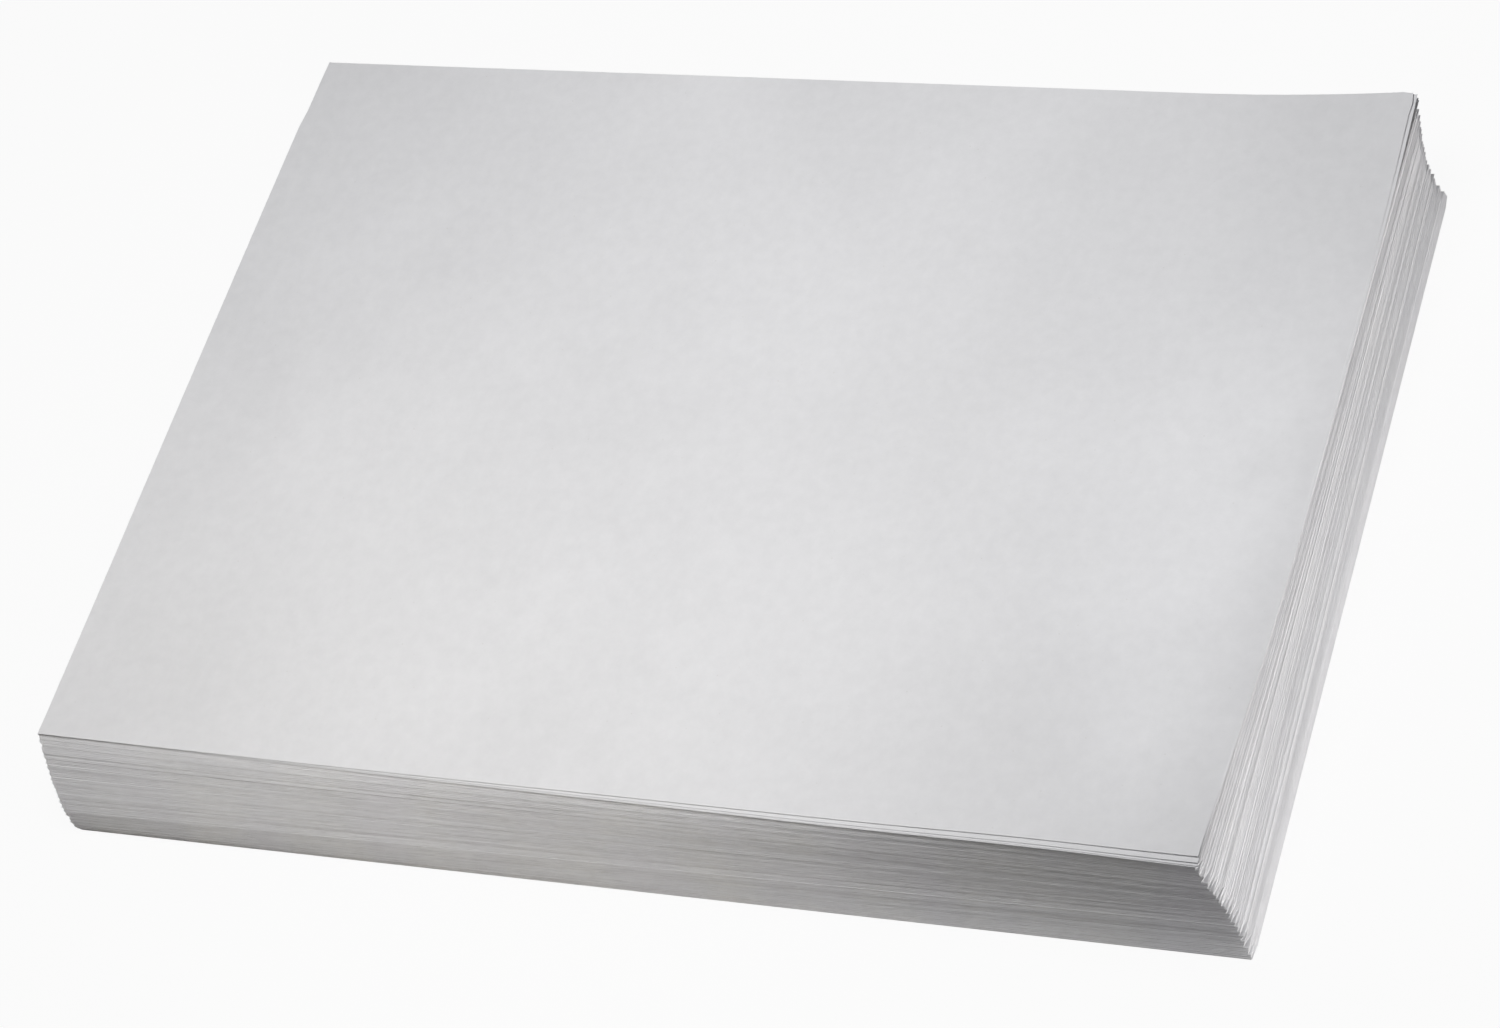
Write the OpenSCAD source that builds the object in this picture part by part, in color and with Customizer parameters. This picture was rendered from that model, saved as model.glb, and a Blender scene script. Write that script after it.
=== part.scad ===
// A loose stack of plain newsprint packing sheets, lying flat on its bottom sheet.
// The sheets have slid a little over each other, so the stack leans, turns and has ragged corners.
// Millimetres. +X runs along the sheets' long side, +Y along the short side, +Z up.
// The origin is the middle of the bottom sheet's underside.

/* [Sheet] */
// Length of a sheet, along X
sheet_l = 787; // [400:1:1000]
// Width of a sheet, along Y
sheet_w = 546; // [300:1:700]
// Height that one sheet takes up in the stack: the paper and the air under it
sheet_t = 0.1; // [0.08:0.01:0.16]

/* [Pile] */
// Number of lifts: runs of sheets that have slid as one
lift_n = 42; // [12:1:55]
// Sheets in an average lift
lift_sheets = 15; // [8:1:24]
// Bundles that each lift has fanned out into
fan_n = 5; // [1:1:6]
// Share of a lift by which its thickness may differ from the average
unevenness = 0.35; // [0:0.05:0.45]

/* [Lean of the pile] */
// Steady slide along X from the top sheet down to the bottom one
slide_x = 8.5; // [-40:0.5:40]
// Steady slide along Y from the top sheet down to the bottom one
slide_y = -30; // [-60:0.5:60]
// Steady turn, in degrees, from the top sheet down to the bottom one
slide_turn = 2.8; // [-4:0.05:4]
// Extra slide along X of the toe, which is the lowest sheets
toe_x = 7.5; // [-20:0.5:20]
// Extra slide along Y of the toe
toe_y = 2.5; // [-20:0.5:20]
// Extra turn of the toe, in degrees
toe_turn = -1.55; // [-3:0.05:3]
// How sharply the toe begins: a higher power keeps it to fewer sheets
toe_power = 4.5; // [2:0.5:9]
// Extra slide along Y of the crest, which is the highest sheets, towards the front as they lie lower
crest_y = -3.5; // [-10:0.5:10]
// How sharply the crest ends: a higher power keeps it to fewer sheets
crest_power = 20; // [8:1:40]

/* [Ragged edges] */
// Most that a lift lies off the lean: along X, along Y
lift_stray = [0.7, 0.25]; // [0:0.05:3]
// Most that a lift is turned off the lean, in degrees
lift_twist = 0.03; // [0:0.01:0.3]
// Most that a bundle lies off its lift: along X, along Y
fan_stray = [0.6, 0.15]; // [0:0.05:1.5]
// Most that a bundle is turned off its lift, in degrees
fan_twist = 0.02; // [0:0.01:0.1]
// Picks one of the many ways in which the sheets may have slid
slide_seed = 7; // [1:1:99]

/* [Loose sheets] */
// Turn of the top sheet on the pile, in degrees
top_turn = 0.25; // [-2:0.05:2]
// Share of that turn that each sheet below has of the one above
turn_fade = 0.35; // [0:0.05:0.9]
// Distance from the middle of the front edge to the point about which the loose sheets turn
turn_pivot = 300; // [0:5:350]
// Length of the knocked corner of the top sheet, along its left edge
knock_l = 58; // [0:1:120]
// Width of the knocked corner of the top sheet, along its back edge
knock_w = 5; // [0:0.5:20]

/* [Curled corners] */
// Rise of the front right corner of the top, second, third and fourth sheet
front_rise = [4.5, 2.2, 1.6, 1.2]; // [0:0.1:20]
// Rise of the back right corner of the top, second, third and fourth sheet
back_rise = [9, 8.2, 2.5, 1.2]; // [0:0.1:30]
// Distance from the front right corner to the line where its curl begins
front_reach = 90; // [20:5:120]
// Distance from the back right corner to the line where its curl begins
back_reach = 110; // [20:5:160]
// Bearing of the front right corner seen from its curl line, in degrees from +X
front_bearing = -35; // [-60:1:-30]
// Bearing of the back right corner seen from its curl line, in degrees from +X
back_bearing = 42; // [30:1:60]

/* [Hidden] */
loose_names = ["top_sheet", "second_sheet", "third_sheet", "fourth_sheet"];
loose_n = len(loose_names);
pile_h = lift_n * lift_sheets * sheet_t;
stack_h = pile_h + loose_n * sheet_t;
// Larger than any sheet, so that what is cut with it is cut right through
beyond = sheet_l + sheet_w;
// Flat facets that make up the bend of a curled corner
curl_steps = 14;
// Random throws between -1 and 1: three for each lift and three for each bundle
lift_throws = rands(-1, 1, 3 * lift_n, slide_seed);
fan_throws = rands(-1, 1, 3 * lift_n * fan_n, slide_seed + 1);
share_throws = rands(-1, 1, lift_n + 1, slide_seed + 2);
newsprint = [0.86, 0.86, 0.86];
cut_edge = [0.7, 0.69, 0.69];

function two_digits(k) = k < 10 ? str("0", k) : str(k);
function lift_name(k) = str("lift_", two_digits(k));

// How far a sheet at height z lies from the bottom sheet, in one direction or turn
function slid(z, steady, toe) = let (depth = 1 - z / stack_h)
    steady * (depth - 1) + toe * (pow(depth, toe_power) - 1);

// How far the crest draws a sheet at height z back from the sheets below it
function drawn_back(z) = -crest_y * pow(z / stack_h, crest_power);

// Place on the smooth lean at height z: [x, y, turn]
function lean_at(z) =
    [slid(z, slide_x, toe_x), slid(z, slide_y, toe_y) + drawn_back(z), slid(z, slide_turn, toe_turn)];

// The i-th throw of three, scaled to a stray along X and Y and a twist
function strayed(throws, i, stray, twist) =
    [stray.x * throws[3 * i], stray.y * throws[3 * i + 1], twist * throws[3 * i + 2]];

// Sheets of the pile that lie above lift k, counted from 1 at the top
function sheets_above(k) = let (off = k > 1 && k <= lift_n ? unevenness * share_throws[k] / 2 : 0)
    round((k - 1 + off) * lift_sheets);

// Height of the top of bundle j in lift k: a whole number of sheets
function fan_level(k, j) = let (above = sheets_above(k), own = sheets_above(k + 1) - above)
    (lift_n * lift_sheets - above - round(own * j / fan_n)) * sheet_t;

// Place of bundle j in lift k; the very bottom bundle lies square on the origin
function fan_at(k, j) = let (z = fan_level(k, j + 1), bottom = k == lift_n && j == fan_n - 1)
    bottom ? [0, 0, 0] : lean_at(z)
        + strayed(lift_throws, k - 1, lift_stray, lift_twist)
        + strayed(fan_throws, (k - 1) * fan_n + j, fan_stray, fan_twist);

// Height of a curl at distance s past the line where it begins
function curl(s, reach, rise) = rise * pow(max(s, 0) / reach, 2);

// Puts a shape on a place [x, y, turn]
module lay(at) {
    translate([at.x, at.y, 0]) rotate(at.z) children();
}

module sheet_outline() {
    square([sheet_l, sheet_w], center = true);
}

// A run of sheets that slid as one, with its bundles fanned out
module lift(k) {
    color(cut_edge)
        for (j = [0 : fan_n - 1])
            translate([0, 0, fan_level(k, j + 1)])
                linear_extrude(fan_level(k, j) - fan_level(k, j + 1))
                    lay(fan_at(k, j)) sheet_outline();
}

// An endless web of paper at height z that is flat up to a curl line and then bends upwards.
// The curl line lies at right angles to the bearing, at the reach from the corner.
module curled_web(z, corner, bearing, reach, rise) {
    steps = [for (i = [0 : curl_steps]) i * reach / curl_steps];
    // The last facet runs on past the corner, because the loose sheets stick out over the pile
    ends = concat([-beyond], steps, [2 * reach]);
    // The bend is even up to the corner and straight beyond it
    function bend(s) = s <= reach ? curl(s, reach, rise) : rise * (2 * s / reach - 1);
    under = [for (s = ends) [s, z + bend(s)]];
    over = [for (i = [len(ends) - 1 : -1 : 0]) [ends[i], z + sheet_t + bend(ends[i])]];
    translate([corner.x, corner.y, 0])
        rotate(bearing)
            translate([-reach, 0, 0])
                rotate([90, 0, 0])
                    linear_extrude(2 * beyond, center = true)
                        polygon(concat(under, over));
}

// Outline of loose sheet k, turned about its pivot on the front edge of the pile
module loose_outline(k) {
    pivot = [-turn_pivot, -sheet_w / 2];
    translate(pivot)
        rotate(top_turn * pow(turn_fade, k))
            translate(-pivot)
                difference() {
                    sheet_outline();
                    if (k == 0 && knock_l > 0 && knock_w > 0)
                        translate([-sheet_l / 2, sheet_w / 2])
                            polygon([[0, -knock_l], [knock_w, 0], [0, knock_l], [-knock_l, 0]]);
                }
}

// The half of loose sheet k on one side of the pile's middle: side is 1 at the back, -1 at the front
module loose_half(k, side, corner, bearing, reach, rise) {
    intersection() {
        curled_web(pile_h + (loose_n - 1 - k) * sheet_t, corner, bearing, reach, rise);
        linear_extrude(pile_h + beyond)
            intersection() {
                loose_outline(k);
                translate([0, side * beyond]) square(2 * beyond, center = true);
            }
    }
}

// One sheet that lies by itself on the pile, with both right corners curled up
module loose_sheet(k) {
    color(newsprint)
        lay(lean_at(pile_h)) {
            loose_half(k, -1, [sheet_l / 2, -sheet_w / 2], front_bearing, front_reach, front_rise[k]);
            loose_half(k, 1, [sheet_l / 2, sheet_w / 2], back_bearing, back_reach, back_rise[k]);
        }
}

for (k = [0 : loose_n - 1])
    loose_sheet(k);

for (k = [1 : lift_n])
    lift(k);
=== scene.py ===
# %% [markdown]
# # A stack of newsprint
# Some 630 sheets of plain newsprint lie on each other. They have slid a little, so the stack leans
# and its edges are ragged. This notebook makes the look of the paper, then every sheet, and then the
# light and the camera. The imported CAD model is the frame: it says where each run of sheets, or lift,
# lies. One block with drawn lines on its sides would be quicker, but its outline would stay straight.

# %% Load the frame
import bpy
import bmesh
import math
import random
from mathutils import Matrix, Vector, noise
from mathutils.bvhtree import BVHTree


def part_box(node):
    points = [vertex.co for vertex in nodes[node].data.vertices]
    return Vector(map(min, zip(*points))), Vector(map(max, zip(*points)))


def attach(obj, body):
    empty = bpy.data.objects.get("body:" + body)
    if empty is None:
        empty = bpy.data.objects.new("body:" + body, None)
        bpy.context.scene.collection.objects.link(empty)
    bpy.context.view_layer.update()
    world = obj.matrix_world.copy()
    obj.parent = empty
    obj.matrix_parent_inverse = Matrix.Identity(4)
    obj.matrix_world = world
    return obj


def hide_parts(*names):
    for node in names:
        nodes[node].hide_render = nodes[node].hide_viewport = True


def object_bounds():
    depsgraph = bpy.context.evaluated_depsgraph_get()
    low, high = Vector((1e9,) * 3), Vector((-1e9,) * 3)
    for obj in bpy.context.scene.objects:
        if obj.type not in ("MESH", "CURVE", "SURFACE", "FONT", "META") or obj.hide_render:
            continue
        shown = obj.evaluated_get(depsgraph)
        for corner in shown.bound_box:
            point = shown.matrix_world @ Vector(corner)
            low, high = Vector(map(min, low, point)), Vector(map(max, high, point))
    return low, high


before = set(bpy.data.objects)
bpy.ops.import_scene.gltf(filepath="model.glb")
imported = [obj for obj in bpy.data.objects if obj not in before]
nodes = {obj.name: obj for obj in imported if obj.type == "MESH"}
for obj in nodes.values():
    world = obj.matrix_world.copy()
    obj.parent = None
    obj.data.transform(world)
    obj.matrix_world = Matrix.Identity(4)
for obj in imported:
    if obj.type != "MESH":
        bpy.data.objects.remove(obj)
cad_low, cad_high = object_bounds()
print("CAD box in mm:", [round(1000 * (b - a), 1) for a, b in zip(cad_low, cad_high)])

# %% [markdown]
# ## Sizes
# Blender works in metres, and paper is measured in millimetres, so one value does the change.
# The sheet size is read from the frame, from the lowest lift, which lies square to the axes.

# %% Sizes
MM = 0.001
SHEET_T = 0.1 * MM
LOOSE = ["top_sheet", "second_sheet", "third_sheet", "fourth_sheet"]
LIFTS = sorted(name for name in nodes if name.startswith("lift_"))
STACK_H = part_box("fourth_sheet")[0].z + len(LOOSE) * SHEET_T
print(len(LIFTS), "lifts under", len(LOOSE), "loose sheets, flat part", round(STACK_H / MM, 1), "mm high")

# %% [markdown]
# ## Where each bundle lies
# In the frame a lift is a short tower of bundles, each a flat box with upright sides. An upright
# corner has the same x and y at its foot and at its head, so the corners of a bundle are the points
# that two neighbouring levels share. That reads the rectangles back without a list of numbers. The
# CAD's steps are coarse beside real sheets, so each bundle is then drawn towards the mean place of
# its neighbours above and below.

# %% Read the bundles
def bundles_of(name):
    """Every bundle of a lift from the top down: its foot, its head and its four corners in order."""
    levels = {}
    for vertex in nodes[name].data.vertices:
        place = (round(vertex.co.x, 6), round(vertex.co.y, 6))
        levels.setdefault(round(vertex.co.z, 5), set()).add(place)
    heights = sorted(levels, reverse=True)
    found = []
    for head, foot in zip(heights, heights[1:]):
        shared = [Vector(p) for p in levels[head] & levels[foot]]
        middle = sum(shared, Vector((0, 0))) / len(shared)
        shared.sort(key=lambda p: math.atan2(p.y - middle.y, p.x - middle.x))
        found.append((foot, head, shared))
    return found


# How many bundles above and below count as neighbours, and how far a bundle is drawn to their mean
NEIGHBOURS = 6
CALM = 0.6
pile = {name: bundles_of(name) for name in LIFTS}
assert all(len(corners) == 4 for bundles in pile.values() for _, _, corners in bundles)
rows = [bundle for name in LIFTS for bundle in pile[name]]
bottom_corners = rows[-1][2]


def calmed(number):
    """The corners of a bundle, drawn towards the mean place of the bundles around it."""
    reach = min(NEIGHBOURS, number, len(rows) - 1 - number)
    near = [corners for _, _, corners in rows[number - reach:number + reach + 1]]
    means = [sum(same, Vector((0, 0))) / len(near) for same in zip(*near)]
    return [own.lerp(mean, CALM) for own, mean in zip(rows[number][2], means)]


places = iter([calmed(number) for number in range(len(rows))])
pile = {name: [(foot, head, next(places)) for foot, head, _ in pile[name]] for name in LIFTS}
SHEET_L = (bottom_corners[1] - bottom_corners[0]).length
SHEET_W = (bottom_corners[2] - bottom_corners[1]).length
print(len(rows), "bundles of sheets", round(SHEET_L / MM), "by", round(SHEET_W / MM), "mm")

# %% [markdown]
# ## How paper settles
# A stack this wide is never quite flat. Its front left corner is pressed lower than the rest. The
# front right corner is swollen with air, and beside it the right edge droops. The whole surface has
# soft hollows too. One function gives that change of height at any point. It grows from nothing at
# the bottom sheet to its full value at the top, and a higher power keeps it to the upper sheets.
# Another function fans the upper sheets out under the highest ones at their two curled corners. A
# cloth simulation could find such shapes too, but not the ones in the picture, and it would be slow.

# %% The settling
# Drop of the front left corner, and how far it reaches along the front as a share of the sheet
CORNER_DROP = 12 * MM
CORNER_REACH = 0.9
CORNER_POWER = 1.2
# Swelling near the front right corner: its rise, its middle and half width across the sheet, and
# where and how quickly it ends towards the back
SWELL = 4 * MM
SWELL_AT = 0.9
SWELL_SPAN = 0.12
SWELL_END = 0.2
SWELL_FADE = 0.02
SWELL_POWER = 4
# Droop of the right edge: its middle and half length along the edge, and its width from the edge in
DROOP = 6 * MM
DROOP_AT = 0.42
DROOP_SPAN = 0.28
DROOP_DEPTH = 0.11
DROOP_POWER = 3
# Depth of the soft hollows, the distance in metres between them, and which ones of a pattern
HOLLOW = 0.7 * MM
HOLLOW_SPAN = 0.21
HOLLOW_PICK = Vector((3.1, 0.4, 0))
# Rise and reach of the fanned corners, and the bearings in degrees in which their curls rise
FRONT_FAN = 2 * MM
BACK_FAN = 3.4 * MM
FAN_POWER = 16
FAN_REACH = 100 * MM
FRONT_BEARING = -35
BACK_BEARING = 42
front_left, front_right, back_right, back_left = pile[LIFTS[0]][0][2]
middle_top = (front_left + back_right) / 2
LONG_WAY = (front_right - front_left).normalized()
SHORT_WAY = (back_left - front_left).normalized()


def on_sheet(point):
    """Shares of the way across the sheet from the left edge, and along it from the front edge."""
    off = point.to_2d() - front_left
    return off.dot(LONG_WAY) / SHEET_L, off.dot(SHORT_WAY) / SHEET_W


def bump(distance, span):
    """Goes from 1 at no distance softly to nothing at about twice the span."""
    return math.exp(-((distance / span) ** 2))


def eased(share):
    """Goes from 1 at a share of 0 to 0 at a share of 1, level at both ends."""
    share = min(max(share, 0), 1)
    return 1 - share * share * (3 - 2 * share)


def settled(point):
    """The change in height of the paper at this point."""
    share = min(max(point.z - SHEET_T, 0) / (STACK_H - SHEET_T), 1)
    across, along = on_sheet(point)
    corner = CORNER_DROP * eased(across / CORNER_REACH) * max(1 - along, 0) ** CORNER_POWER
    ends = 1 / (1 + math.exp((along - SWELL_END) / SWELL_FADE))
    swell = SWELL * bump(across - SWELL_AT, SWELL_SPAN) * ends
    droop = DROOP * bump(along - DROOP_AT, DROOP_SPAN) * bump(1 - across, DROOP_DEPTH)
    wave = noise.noise(Vector((point.x, point.y, 0)) / HOLLOW_SPAN + HOLLOW_PICK)
    hollow = HOLLOW * (0.5 + 0.5 * wave)
    return share ** SWELL_POWER * swell - share ** DROOP_POWER * droop - share * (corner + hollow)


def fanned(point, corner, bearing, rise):
    """The rise of the paper under a curled corner: nothing up to the curl line, then steeper and steeper."""
    share = min(point.z / STACK_H, 1)
    way = Vector((math.cos(math.radians(bearing)), math.sin(math.radians(bearing))))
    past_line = (point.to_2d() - corner).dot(way) + FAN_REACH
    return rise * share ** FAN_POWER * (max(past_line, 0) / FAN_REACH) ** 2


def fanned_front(point):
    return fanned(point, front_right, FRONT_BEARING, FRONT_FAN)


def fanned_back(point):
    return fanned(point, back_right, BACK_BEARING, BACK_FAN)


for name, spot in (("front left", front_left), ("front right", front_right), ("back right", back_right)):
    moved = settled(spot.to_3d() + Vector((0, 0, STACK_H)))
    print("the", name, "corner moves by", round(moved / MM, 1), "mm")

# %% [markdown]
# ## Colours and nodes
# Colours are written as the hex values that a picture editor shows. Cycles wants linear light, so
# one function turns them. A second small function adds a shader node with its settings and links.

# %% Helpers for materials
def linear(hex_colour):
    """An sRGB hex colour as linear red, green, blue and alpha."""
    parts = [int(hex_colour[i:i + 2], 16) / 255 for i in (1, 3, 5)]
    return tuple(c / 12.92 if c <= 0.04045 else ((c + 0.055) / 1.055) ** 2.4 for c in parts) + (1.0,)


def add(tree, kind, inputs=(), **settings):
    """A new node: inputs is a dict of socket to value, or to the output that feeds it."""
    node = tree.nodes.new(kind)
    for key, value in settings.items():
        setattr(node, key, value)
    for key, value in dict(inputs).items():
        if isinstance(value, bpy.types.NodeSocket):
            tree.links.new(value, node.inputs[key])
        else:
            node.inputs[key].default_value = value
    return node


def new_material(name):
    """A material with an empty node tree, and the tree."""
    material = bpy.data.materials.new(name)
    material.use_nodes = True
    material.node_tree.nodes.clear()
    return material, material.node_tree


print("linear value of a mid grey:", round(linear("#808080")[0], 3))

# %% [markdown]
# ## The face of the paper
# Newsprint is uncoated mechanical pulp, made on a wire. Against the light it looks cloudy, because
# the fibres gather in flocks about a centimetre across. Close by it is a felt of short fibres, a
# little darker here and there where a speck of bark or ink stayed in the pulp. It has no shine. The
# fibre pattern is drawn along one axis, since a paper machine lays most fibres one way. A scan of
# paper would do as well, but nodes on object coordinates need no file and no unwrapping.

# %% Newsprint face
PAPER_LIGHT = "#DCDCDE"
PAPER_DARK = "#D3D3D5"
PAPER_SPECK = "#B9B6B0"
FLOCK = 9 * MM
CLOUD = 110 * MM
# A real fibre is about 0.03 mm wide. It is drawn ten times as coarse, so that it shows at all.
FIBRE = 0.35 * MM
FIBRE_LENGTH = 2.2 * MM
SPECK_DISTANCE = 12.6 * MM
# Where a speck is darkest and where it ends, as shares of that distance, and how dark it is
SPECK_CORE = 0.012
SPECK_RIM = 0.05
SPECK_DARKNESS = 0.35
# How much of each pattern goes into the tone. A noise has a mean of about a half.
GRAIN_PART = 0.3
FLOCK_PART = 0.9
CLOUD_PART = 1.0
FACE_MEAN = (GRAIN_PART + FLOCK_PART + CLOUD_PART) / 2
FACE_STRAY = 0.35
RELIEF = 0.05 * MM


def newsprint_face():
    """Uncoated newsprint seen from above: clouds, flocks, fibres and a few specks."""
    material, tree = new_material("newsprint_face")
    where = add(tree, "ShaderNodeTexCoord").outputs["Object"]
    fibres_at = add(tree, "ShaderNodeMapping", {"Vector": where, "Scale": (1 / FIBRE_LENGTH, 1 / FIBRE, 1)})
    fibres = add(tree, "ShaderNodeTexNoise", {"Vector": fibres_at.outputs[0], "Scale": 1.0, "Detail": 3.0})
    flocks = add(tree, "ShaderNodeTexNoise", {"Vector": where, "Scale": 1 / FLOCK, "Detail": 4.0,
                                              "Roughness": 0.6})
    clouds = add(tree, "ShaderNodeTexNoise", {"Vector": where, "Scale": 1 / CLOUD, "Detail": 3.0,
                                              "Roughness": 0.5})
    specks = add(tree, "ShaderNodeTexVoronoi", {"Vector": where, "Scale": 1 / SPECK_DISTANCE})
    grain = add(tree, "ShaderNodeMath", {0: fibres.outputs[0], 1: GRAIN_PART}, operation="MULTIPLY")
    flocky = add(tree, "ShaderNodeMath", {0: flocks.outputs[0], 1: FLOCK_PART, 2: grain.outputs[0]},
                 operation="MULTIPLY_ADD")
    cloudy = add(tree, "ShaderNodeMath", {0: clouds.outputs[0], 1: CLOUD_PART, 2: flocky.outputs[0]},
                 operation="MULTIPLY_ADD")
    tone = add(tree, "ShaderNodeMapRange", {"Value": cloudy.outputs[0],
                                            "From Min": FACE_MEAN - FACE_STRAY,
                                            "From Max": FACE_MEAN + FACE_STRAY})
    paper = add(tree, "ShaderNodeMix", {"Factor": tone.outputs[0], "A": linear(PAPER_DARK),
                                        "B": linear(PAPER_LIGHT)}, data_type="RGBA")
    speckle = add(tree, "ShaderNodeMapRange", {"Value": specks.outputs["Distance"],
                                               "From Min": SPECK_CORE, "From Max": SPECK_RIM,
                                               "To Min": SPECK_DARKNESS, "To Max": 0.0})
    colour = add(tree, "ShaderNodeMix", {"Factor": speckle.outputs[0], "A": paper.outputs["Result"],
                                         "B": linear(PAPER_SPECK)}, data_type="RGBA")
    relief = add(tree, "ShaderNodeMath", {0: flocks.outputs[0], 1: 0.6, 2: fibres.outputs[0]},
                 operation="MULTIPLY_ADD")
    bumps = add(tree, "ShaderNodeBump", {"Height": relief.outputs[0], "Strength": 0.35,
                                         "Distance": RELIEF})
    shader = add(tree, "ShaderNodeBsdfPrincipled", {"Base Color": colour.outputs["Result"],
                                                    "Roughness": 0.92, "IOR": 1.47,
                                                    "Specular IOR Level": 0.25,
                                                    "Normal": bumps.outputs[0]})
    add(tree, "ShaderNodeOutputMaterial", {"Surface": shader.outputs[0]})
    return material


face = newsprint_face()
print("made", face.name, "with", len(face.node_tree.nodes), "nodes")

# %% [markdown]
# ## The cut edges
# A guillotine cuts hundreds of sheets at once, and then they slide. The pile's side is therefore
# a comb of fine lines: some sheets stand out and catch the light, others lie back in shade. Lines
# finer than the geometry are painted into the colour with noise, squeezed flat in height and drawn
# long along the edge: painted light and shade of those sheets, mixed with the edges' own tone. A
# picture of a real cut would repeat along the side, and noise doesn't. Three noises of different
# lengths are added: long lines, shorter streaks that tilt one way, and hairs that tilt the other
# way. The mapping node's texture type turns first and scales last, so the streaks keep a small tilt.
# Broad blotches show where the cut edges are a little more felted. The painted lines are strong on
# the long sides and faint on the short sides, so one function makes a material for each.

# %% Cut edge
# Edge lines: the edges' own tone plus painted shade between sheets and painted light on sheets that stand
# out
EDGE_LIGHT = "#DBDADA"
EDGE_DARK = "#A09E9E"
EDGE_WARM = "#CFCBC2"
EDGE_COOL = "#C4C0C7"
# Length, height and tilt. Real sheets are 0.1 mm apart: the lines stand for several sheets each.
LINE = (200 * MM, 0.5 * MM, math.radians(0.2))
STREAK = (30 * MM, 0.8 * MM, math.radians(-2.5))
HAIR = (10 * MM, 0.5 * MM, math.radians(6.0))
BLOTCH = 55 * MM
EDGE_RELIEF = 0.15 * MM
# How much streaks and hairs count against the lines, the mean of the sum, and how far it mostly strays
STREAK_PART = 0.9
HAIR_PART = 1.2
EDGE_MEAN = (1 + STREAK_PART + HAIR_PART) / 2
EDGE_STRAY = 0.45
# Between which values of the blotches the warm and the cool tint come in, and how strong they get
WARM_FROM = 0.45
WARM_FULL = 0.7
COOL_FROM = 0.52
COOL_FULL = 0.3
TINT = 0.5


def streaks(tree, where, length, height, tilt, detail):
    """Noise drawn long along the edges of the sheets, with its tilt against them."""
    at = add(tree, "ShaderNodeMapping", {"Vector": where, "Rotation": (tilt, -tilt, 0),
                                         "Scale": (length, length, height)}, vector_type="TEXTURE")
    return add(tree, "ShaderNodeTexNoise", {"Vector": at.outputs[0], "Scale": 1.0, "Detail": detail,
                                            "Roughness": 0.6}).outputs[0]


def cut_edge(name, contrast, relief, tint):
    """A cut side of the pile with painted light and shade in its lines: a side with strong lines has more
    contrast, relief and tint than one with faint lines.
    """
    material, tree = new_material(name)
    where = add(tree, "ShaderNodeTexCoord").outputs["Object"]
    lines = streaks(tree, where, *LINE, 1.0)
    strokes = streaks(tree, where, *STREAK, 2.0)
    hairs = streaks(tree, where, *HAIR, 2.0)
    blotches = streaks(tree, where, BLOTCH, 2 * BLOTCH, 0.0, 1.0)
    # The three noises add up to the lines: painted light and shade of the sheets' steps, with the edges' own
    # tone
    both = add(tree, "ShaderNodeMath", {0: strokes, 1: STREAK_PART, 2: lines}, operation="MULTIPLY_ADD")
    fine = add(tree, "ShaderNodeMath", {0: hairs, 1: HAIR_PART, 2: both.outputs[0]},
               operation="MULTIPLY_ADD")
    tone = add(tree, "ShaderNodeMapRange", {"Value": fine.outputs[0],
                                            "From Min": EDGE_MEAN - EDGE_STRAY / contrast,
                                            "From Max": EDGE_MEAN + EDGE_STRAY / contrast})
    grey = add(tree, "ShaderNodeMix", {"Factor": tone.outputs[0], "A": linear(EDGE_DARK),
                                       "B": linear(EDGE_LIGHT)}, data_type="RGBA")
    warmth = add(tree, "ShaderNodeMapRange", {"Value": blotches, "From Min": WARM_FROM,
                                              "From Max": WARM_FULL, "To Max": TINT * tint})
    warm = add(tree, "ShaderNodeMix", {"Factor": warmth.outputs[0], "A": grey.outputs["Result"],
                                       "B": linear(EDGE_WARM)}, data_type="RGBA")
    coolness = add(tree, "ShaderNodeMapRange", {"Value": blotches, "From Min": COOL_FROM,
                                                "From Max": COOL_FULL, "To Max": TINT * tint})
    colour = add(tree, "ShaderNodeMix", {"Factor": coolness.outputs[0], "A": warm.outputs["Result"],
                                         "B": linear(EDGE_COOL)}, data_type="RGBA")
    bumps = add(tree, "ShaderNodeBump", {"Height": fine.outputs[0], "Strength": 0.5 * relief,
                                         "Distance": EDGE_RELIEF})
    shader = add(tree, "ShaderNodeBsdfPrincipled", {"Base Color": colour.outputs["Result"],
                                                    "Roughness": 0.95, "IOR": 1.47,
                                                    "Specular IOR Level": 0.15,
                                                    "Normal": bumps.outputs[0]})
    add(tree, "ShaderNodeOutputMaterial", {"Surface": shader.outputs[0]})
    return material


long_edge = cut_edge("newsprint_long_cut", contrast=2.0, relief=1.0, tint=1.0)
short_edge = cut_edge("newsprint_short_cut", contrast=0.5, relief=0.1, tint=0.1)
print("made", long_edge.name, "and", short_edge.name, "with", len(long_edge.node_tree.nodes), "nodes each")

# %% [markdown]
# ## One sheet of the pile
# A sheet is a grid, so that it can bend. The grid is made one metre wide and a matrix stretches it
# to the sheet and lays it in place. Its lines stand closest at the rim, which is all that shows. All
# sheets of a lift share one mesh, and one solidify gives them their thickness. An array modifier
# would repeat a sheet faster, but here every sheet has to lie differently. Sheets only a tenth of a
# millimetre thick need no bevel. Handling knocks the corners of a few sheets at a time, which gives
# the corners of the pile their teeth. Four slight ledges run along the right side.

# %% Sheets
# Cells of a sheet's grid along its length and along its width
CELLS_L = 16
CELLS_W = 11
# Most that one sheet lies off its bundle
STRAY_X = 0.18 * MM
STRAY_Y = 0.15 * MM
TWIST = math.radians(0.015)
# Waves in the paper. Above this height they have their full size, and at the bottom they are gone.
WAVE = 0.25 * MM
WAVE_LENGTH = 120 * MM
WAVE_FULL = 5 * MM
# Each lift takes its own slice of the pattern, up to this many wave lengths away
WAVE_SLICES = 50
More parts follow.
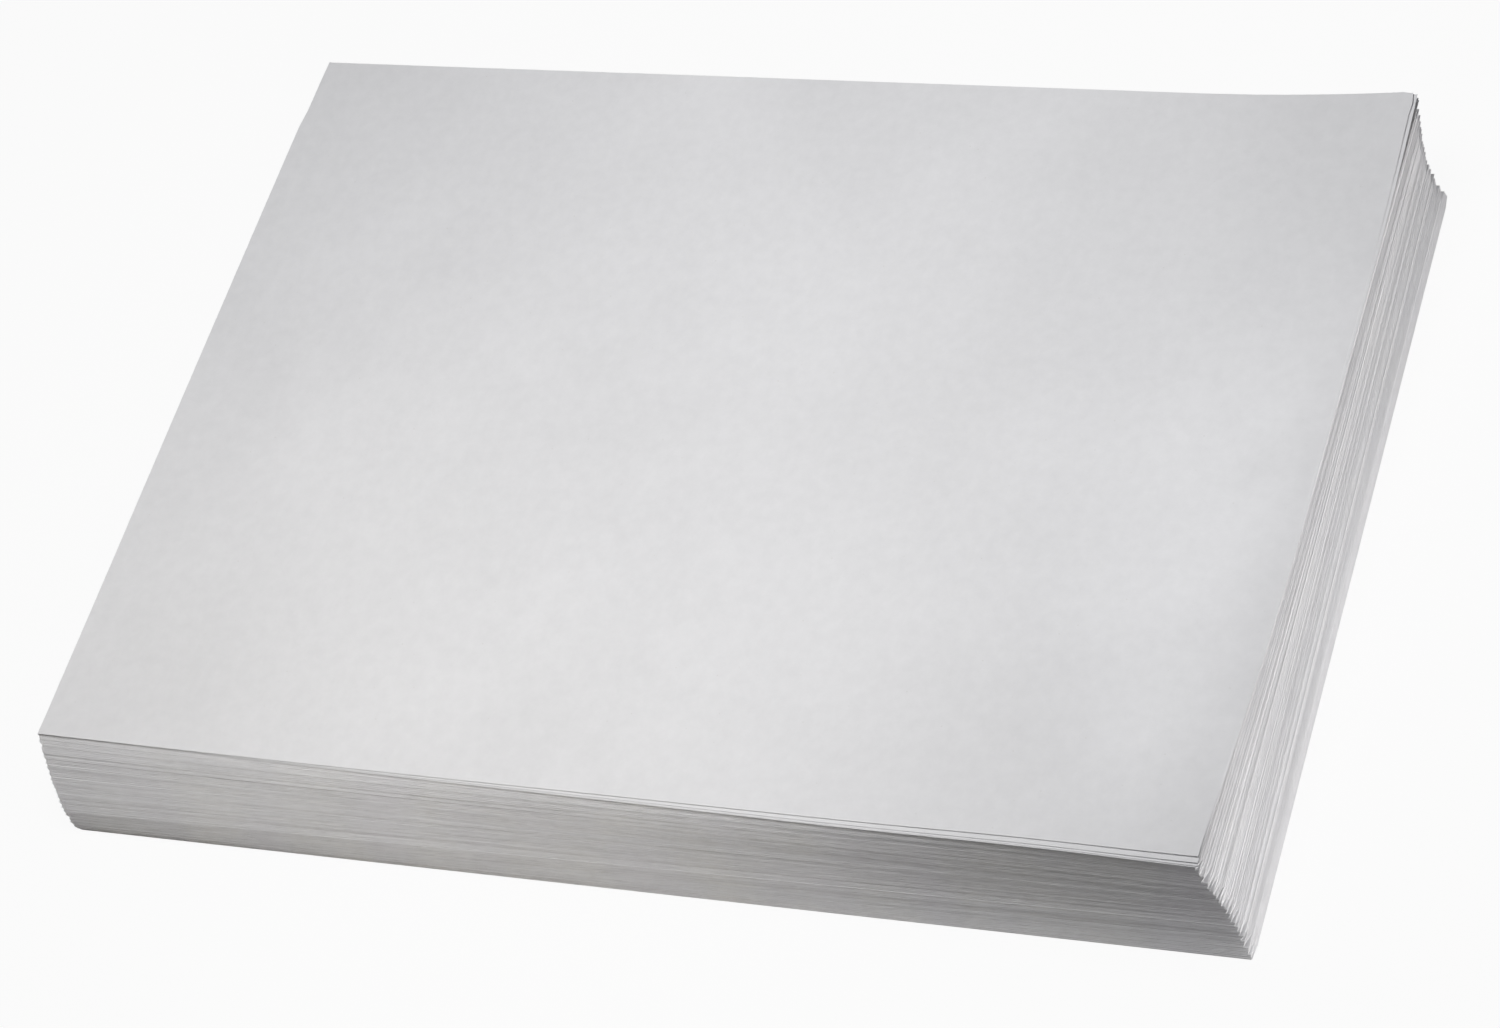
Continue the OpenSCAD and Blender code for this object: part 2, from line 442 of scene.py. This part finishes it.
# Depth of the frayed edges, and the length and height of a frayed spot
FRAY = 0.12 * MM
FRAY_LENGTH = 55 * MM
FRAY_HEIGHT = 1.1 * MM
# Heights of the ledges as shares of the stack's, and how far they stand out
LEDGES = [0.2, 0.41, 0.63, 0.88]
LEDGE = 0.35 * MM
# Least and most height and depth of a tooth
TOOTH_HEIGHT = (2.0 * MM, 4.2 * MM)
TOOTH_DEPTH = (1.2 * MM, 3.4 * MM)
# Faces that meet at more than this angle keep a crisp edge
SHARP = math.radians(40)
SEED = 11
chance = random.Random(SEED)
teeth = [0.0]
while teeth[-1] < STACK_H:
    teeth.append(teeth[-1] + chance.uniform(*TOOTH_HEIGHT))
tooth_depths = [[chance.uniform(*TOOTH_DEPTH) for _ in range(4)] for _ in teeth]


def ledge(height):
    """How far out along X the sheets at a height lie, for the four ledges of the right side."""
    share = height / STACK_H
    below = max((step for step in LEDGES if step <= share), default=0)
    above = min((step for step in LEDGES if step > share), default=1)
    return LEDGE * (1 - 2 * (share - below) / (above - below)) if below else 0.0


def frayed(vertex, middle):
    """Draws a point on a sheet's rim a little towards the middle, more at some spots than at others."""
    at = Vector((vertex.co.x / FRAY_LENGTH, vertex.co.y / FRAY_LENGTH, vertex.co.z / FRAY_HEIGHT))
    depth = FRAY * (0.5 + 0.5 * noise.noise(at))
    vertex.co += (middle - vertex.co).normalized() * depth


def knocked(vertex, middle):
    """Pushes a sheet's corner in along X, the more the lower it lies in its tooth."""
    number = max(i for i, foot in enumerate(teeth) if foot <= vertex.co.z)
    share = (teeth[number + 1] - vertex.co.z) / (teeth[number + 1] - teeth[number])
    corner = (vertex.co.x > middle.x) + 2 * (vertex.co.y > middle.y)
    vertex.co.x += math.copysign(tooth_depths[number][corner] * share, middle.x - vertex.co.x)


def to_rim(value):
    """Moves a line of a grid one metre wide outwards, so that the lines stand close at the rim."""
    return math.copysign(0.5 * (1 - (1 - 2 * abs(value)) ** 2), value)


def sheet_grid(mesh, corners, height, cells, strayed=True):
    """Adds a flat grid on the given rectangle. A strayed one lies a little off it, but inside it."""
    room = Vector((STRAY_X, STRAY_Y)) if strayed else Vector((0, 0))
    middle = sum(corners, Vector((0, 0))) / 4
    side = corners[1] - corners[0]
    turn = math.atan2(side.y, side.x) + (chance.uniform(-TWIST, TWIST) if strayed else 0)
    shift = Vector((chance.uniform(-room.x, room.x), chance.uniform(-room.y, room.y), height))
    spread = (side.length - 2 * room.x, (corners[2] - corners[1]).length - 2 * room.y, 1, 1)
    matrix = Matrix.Translation(middle.to_3d() + shift) @ Matrix.Rotation(turn, 4, "Z")
    grid = bmesh.ops.create_grid(mesh, x_segments=cells[0], y_segments=cells[1], size=0.5)["verts"]
    for vertex in grid if strayed else ():
        vertex.co = (to_rim(vertex.co.x), to_rim(vertex.co.y), 0)
    bmesh.ops.transform(mesh, matrix=matrix @ Matrix.Diagonal(spread), verts=grid)
    return grid


def as_piece(name, mesh, node):
    """Turns a bmesh into a shown piece that stands for a CAD node."""
    mesh.normal_update()
    for facet in mesh.faces:
        facet.smooth = True
        lies_flat = abs(facet.normal.z) > 0.5
        on_short_side = abs(facet.normal.x) > 0.7
        facet.material_index = 0 if lies_flat else 1 + on_short_side
    data = bpy.data.meshes.new(name)
    mesh.to_mesh(data)
    mesh.free()
    data.set_sharp_from_angle(angle=SHARP)
    for material in (face, long_edge, short_edge):
        data.materials.append(material)
    piece = bpy.data.objects.new(name, data)
    bpy.context.scene.collection.objects.link(piece)
    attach(piece, "root")
    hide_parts(node)
    return piece


def lift_piece(name):
    """All sheets of one lift, each strayed a little from its bundle and settled."""
    mesh = bmesh.new()
    phase = chance.uniform(0, WAVE_SLICES)
    for foot, head, corners in pile[name]:
        for level in range(round((head - foot) / SHEET_T)):
            height = foot + (level + 1) * SHEET_T
            shifted = [corner + Vector((ledge(height), 0)) for corner in corners]
            sheet_grid(mesh, shifted, height, (CELLS_L, CELLS_W))
    for vertex in mesh.verts:
        middle = Vector((middle_top.x, middle_top.y, vertex.co.z))
        if vertex.is_boundary:
            frayed(vertex, middle)
        if len(vertex.link_faces) == 1:
            knocked(vertex, middle)
    for vertex in mesh.verts:
        wave = noise.noise(Vector((vertex.co.x, vertex.co.y, phase * WAVE_LENGTH)) / WAVE_LENGTH)
        share = min((vertex.co.z - SHEET_T) / WAVE_FULL, 1)
        fans = fanned_front(vertex.co) + fanned_back(vertex.co)
        vertex.co.z += settled(vertex.co) + fans - share * WAVE * (0.5 + 0.5 * wave)
    bmesh.ops.solidify(mesh, geom=mesh.faces[:], thickness=SHEET_T)
    return as_piece(name.replace("lift", "sheets"), mesh, name)


lifts = [lift_piece(name) for name in LIFTS]
print(len(lifts), "lifts of", sum(len(p.data.polygons) for p in lifts), "faces")

# %% [markdown]
# ## The loose sheets on top
# The four highest sheets are seen from above, so they get a finer grid. Each is laid over its CAD
# sheet, which already has the curled corners and the knocked corner: every point of the grid looks
# straight down for the CAD's surface and takes its height, and a point past the outline moves to
# the nearest spot on it. A shrinkwrap modifier does much the same, but here the points may only move
# down. Then the same settling as below is added. No sheet is cut quite square, so each corner may
# lie a millimetre or two off the CAD's, and the front edges of the lower sheets peep out under the
# top one. The front edges also stand up a little, like a lip, which leaves a fine dark gap.

# %% Loose sheets
FINE_L = 96
FINE_W = 66
# Height of each sheet's lip, from the top sheet down, and how far in from the front edge it fades
LIPS = [0.9 * MM, 0.4 * MM, 0.1 * MM, 0.0]
LIP_DEPTH = 20 * MM
# Millimetres off the CAD's front left, front right, back right and back left corner, for each sheet
OFF_CORNERS = [
    [(0, 0), (0, 0), (0, 0), (0, 0)],
    [(0, 0), (0.6, -1.7), (1.0, 1.5), (0, 0)],
    [(0, -0.1), (0.6, -2.5), (0, 0.5), (0, 0)],
    [(0, -0.2), (0.6, -2.9), (0, 0), (0, 0)],
]


def outline_corners(name):
    """The four corners of a loose sheet in plan, from its CAD node."""
    points = [vertex.co.to_2d() for vertex in nodes[name].data.vertices]
    ways = [(-1, -1), (1, -1), (1, 1), (-1, 1)]
    reach = [Vector((SHEET_L * sx, SHEET_W * sy)) for sx, sy in ways]
    return [max(points, key=lambda p, way=way: p.dot(way)) for way in reach]


def off_corner(order, across, along):
    """How far a point of a loose sheet lies off the CAD: its four corners' values, blended."""
    shares = [(1 - across) * (1 - along), across * (1 - along), across * along, (1 - across) * along]
    return sum((Vector(off) * share * MM for off, share in zip(OFF_CORNERS[order], shares)), Vector((0, 0)))


def loose_piece(name, order):
    """A loose sheet laid over its CAD sheet: order is 0 for the top one."""
    mesh = bmesh.new()
    cad = bmesh.new()
    cad.from_mesh(nodes[name].data)
    surface = BVHTree.FromBMesh(cad)
    corners = outline_corners(name)
    # The top sheet's back left corner is knocked off, so that corner follows from the other three
    corners[3] = corners[0] + corners[2] - corners[1]
    for vertex in sheet_grid(mesh, corners, cad_high.z + MM, (FINE_L, FINE_W), strayed=False):
        hit = surface.ray_cast(vertex.co, Vector((0, 0, -1)))[0]
        if hit is None:
            hit = surface.find_nearest(Vector((vertex.co.x, vertex.co.y, STACK_H)))[0]
        vertex.co = hit
    cad.free()
    front = corners[0]
    edge_way = (corners[1] - corners[0]).normalized()
    inwards = Vector((-edge_way.y, edge_way.x))
    for vertex in mesh.verts:
        off = vertex.co.to_2d() - front
        lip = LIPS[order] * bump(off.dot(inwards), LIP_DEPTH)
        rise = fanned_front(vertex.co) if order > 0 else 0.0
        rise += fanned_back(vertex.co) if order > 1 else 0.0
        height = vertex.co.z + settled(vertex.co) + lip + rise
        shift = off_corner(order, off.dot(edge_way) / SHEET_L, off.dot(inwards) / SHEET_W)
        vertex.co = (vertex.co.to_2d() + shift).to_3d() + Vector((0, 0, height))
    bmesh.ops.solidify(mesh, geom=mesh.faces[:], thickness=SHEET_T)
    return as_piece("loose_" + name, mesh, name)


loose = [loose_piece(name, order) for order, name in enumerate(LOOSE)]
print("loose sheets:", [piece.name for piece in loose])

# %% [markdown]
# ## The floor
# Product pictures like this one are taken on white. The floor is a pale plane that shows nearly
# white to the camera and still keeps a soft shadow. A matt floor alone would look grey and uneven
# under these lamps. So the material mixes it with a plain white that only rays from the camera, or
# from a mirror or a glass, can see.

# %% Floor
WHITE = "#FFFFFF"
FLOOR_MATT = "#B4B4B4"
# How much of the floor's look is plain white: the rest shows the shadow
FLOOR_WHITE = 0.94
FLOOR_HALF = 12


def seen_by_eye(tree):
    """A socket that is 1 for rays from the camera, a mirror or a glass, and 0 for plain light."""
    rays = add(tree, "ShaderNodeLightPath")
    eye = add(tree, "ShaderNodeMath", {0: rays.outputs["Is Camera Ray"], 1: rays.outputs["Is Glossy Ray"]},
              operation="MAXIMUM")
    return add(tree, "ShaderNodeMath", {0: eye.outputs[0], 1: rays.outputs["Is Transmission Ray"]},
               operation="MAXIMUM").outputs[0]


floor_paint, tree = new_material("studio_floor_paint")
matt = add(tree, "ShaderNodeBsdfDiffuse", {"Color": linear(FLOOR_MATT)})
white = add(tree, "ShaderNodeEmission", {"Color": linear(WHITE), "Strength": 1.0})
part = add(tree, "ShaderNodeMath", {0: seen_by_eye(tree), 1: FLOOR_WHITE}, operation="MULTIPLY")
paint = add(tree, "ShaderNodeMixShader", {0: part.outputs[0], 1: matt.outputs[0], 2: white.outputs[0]})
add(tree, "ShaderNodeOutputMaterial", {"Surface": paint.outputs[0]})
floor_mesh = bmesh.new()
bmesh.ops.create_grid(floor_mesh, x_segments=1, y_segments=1, size=FLOOR_HALF)
floor_data = bpy.data.meshes.new("studio_floor")
floor_mesh.to_mesh(floor_data)
floor_mesh.free()
floor_data.materials.append(floor_paint)
floor = bpy.data.objects.new("studio_floor", floor_data)
bpy.context.scene.collection.objects.link(floor)
print("floor", floor_data.name)

# %% [markdown]
# ## World and lamps
# The world gives a faint light from all around, and plain white to the eye. The lamps do the rest. A
# low one far to the right lights the right side evenly and hardly touches the top, so that the soft
# hollows of the top don't turn into strong shadows. A wide one overhead lights the top. Three weak
# narrow ones at the front give the front side its fall from light on the left to dark on the right.
# Light adds up, so each lamp was first rendered alone, and its power then chosen so that the sum
# comes close to the picture.

# %% World and lamps
AMBIENT = 0.108
AMBIENT_TINT = "#FCFDFF"
world = bpy.data.worlds.new("studio_world")
world.use_nodes = True
tree = world.node_tree
tree.nodes.clear()
sky = add(tree, "ShaderNodeBackground", {"Color": linear(AMBIENT_TINT), "Strength": AMBIENT})
backdrop = add(tree, "ShaderNodeBackground", {"Color": linear(WHITE), "Strength": 1.0})
both = add(tree, "ShaderNodeMixShader", {0: seen_by_eye(tree), 1: sky.outputs[0], 2: backdrop.outputs[0]})
add(tree, "ShaderNodeOutputWorld", {"Surface": both.outputs[0]})
bpy.context.scene.world = world


def lamp(name, place, aim, size, power, spread, colour):
    """A flat lamp at a place, turned to its aim. Metres, watts, and degrees for how wide it shines."""
    light = bpy.data.lights.new(name, "AREA")
    light.shape = "RECTANGLE"
    light.size, light.size_y = size
    light.energy = power
    light.spread = math.radians(spread)
    light.color = linear(colour)[:3]
    thing = bpy.data.objects.new(name, light)
    thing.location = place
    thing.rotation_euler = (Vector(aim) - Vector(place)).to_track_quat("-Z", "Y").to_euler()
    bpy.context.scene.collection.objects.link(thing)


lamp("right_lamp", (1.9, -0.35, 0.1), (0.35, -0.1, 0.03), (0.4, 0.12), 48, 180, WHITE)
lamp("top_lamp", (0, 0.12, 1.3), (-0.02, 0, 0), (0.7, 0.7), 13.9, 180, WHITE)
lamp("front_lamp", (0, -0.95, 0.35), (-0.1, -0.27, 0.03), (0.3, 0.3), 0.2, 55, "#FFFAF0")
lamp("corner_lamp", (-0.5, -0.35, 0.7), (-0.35, -0.2, 0.06), (0.3, 0.3), 0.095, 60, "#FFFAF0")
lamp("edge_lamp", (0.1, -0.45, 0.8), (0.1, -0.2, 0.06), (0.3, 0.3), 0.09, 60, "#FFFCF6")

# %% [markdown]
# ## Camera
# The camera's place was worked out from the corners of the top and bottom sheet in the picture.
# Its turn about its own view line is large, because the picture was taken with a tilted camera. The
# lens is long, since the far edge of the sheet looks nearly as long as the near one.

# %% Camera
PICTURE_W = 1500
FOCAL_PX = 4200
YAW, PITCH, ROLL = (math.radians(a) for a in (40.517, 49.879, -29.256))
# Where the stack's origin lies as the camera sees it: to the right, down and away
VIEW_SHIFT = Vector((4.024, 1.744, 2662.284)) * MM
back = Vector((math.sin(YAW) * math.cos(PITCH), -math.cos(YAW) * math.cos(PITCH), math.sin(PITCH)))
level = Vector((math.cos(YAW), math.sin(YAW), 0))
upright = back.cross(level)
right = math.cos(ROLL) * level + math.sin(ROLL) * upright
up = math.cos(ROLL) * upright - math.sin(ROLL) * level
eye_place = -(VIEW_SHIFT.x * right - VIEW_SHIFT.y * up - VIEW_SHIFT.z * back)
lens = bpy.data.cameras.new("camera")
lens.sensor_width = 36
lens.lens = FOCAL_PX / PICTURE_W * lens.sensor_width
lens.clip_start = 0.1
lens.clip_end = 50
camera = bpy.data.objects.new("camera", lens)
turned = Matrix((right, up, back)).transposed()
camera.matrix_world = Matrix.Translation(eye_place) @ turned.to_4x4()
bpy.context.scene.collection.objects.link(camera)
bpy.context.scene.camera = camera
bpy.context.scene.view_settings.view_transform = "Standard"
print("camera at", [round(c, 3) for c in eye_place], "lens", round(lens.lens, 1), "mm")
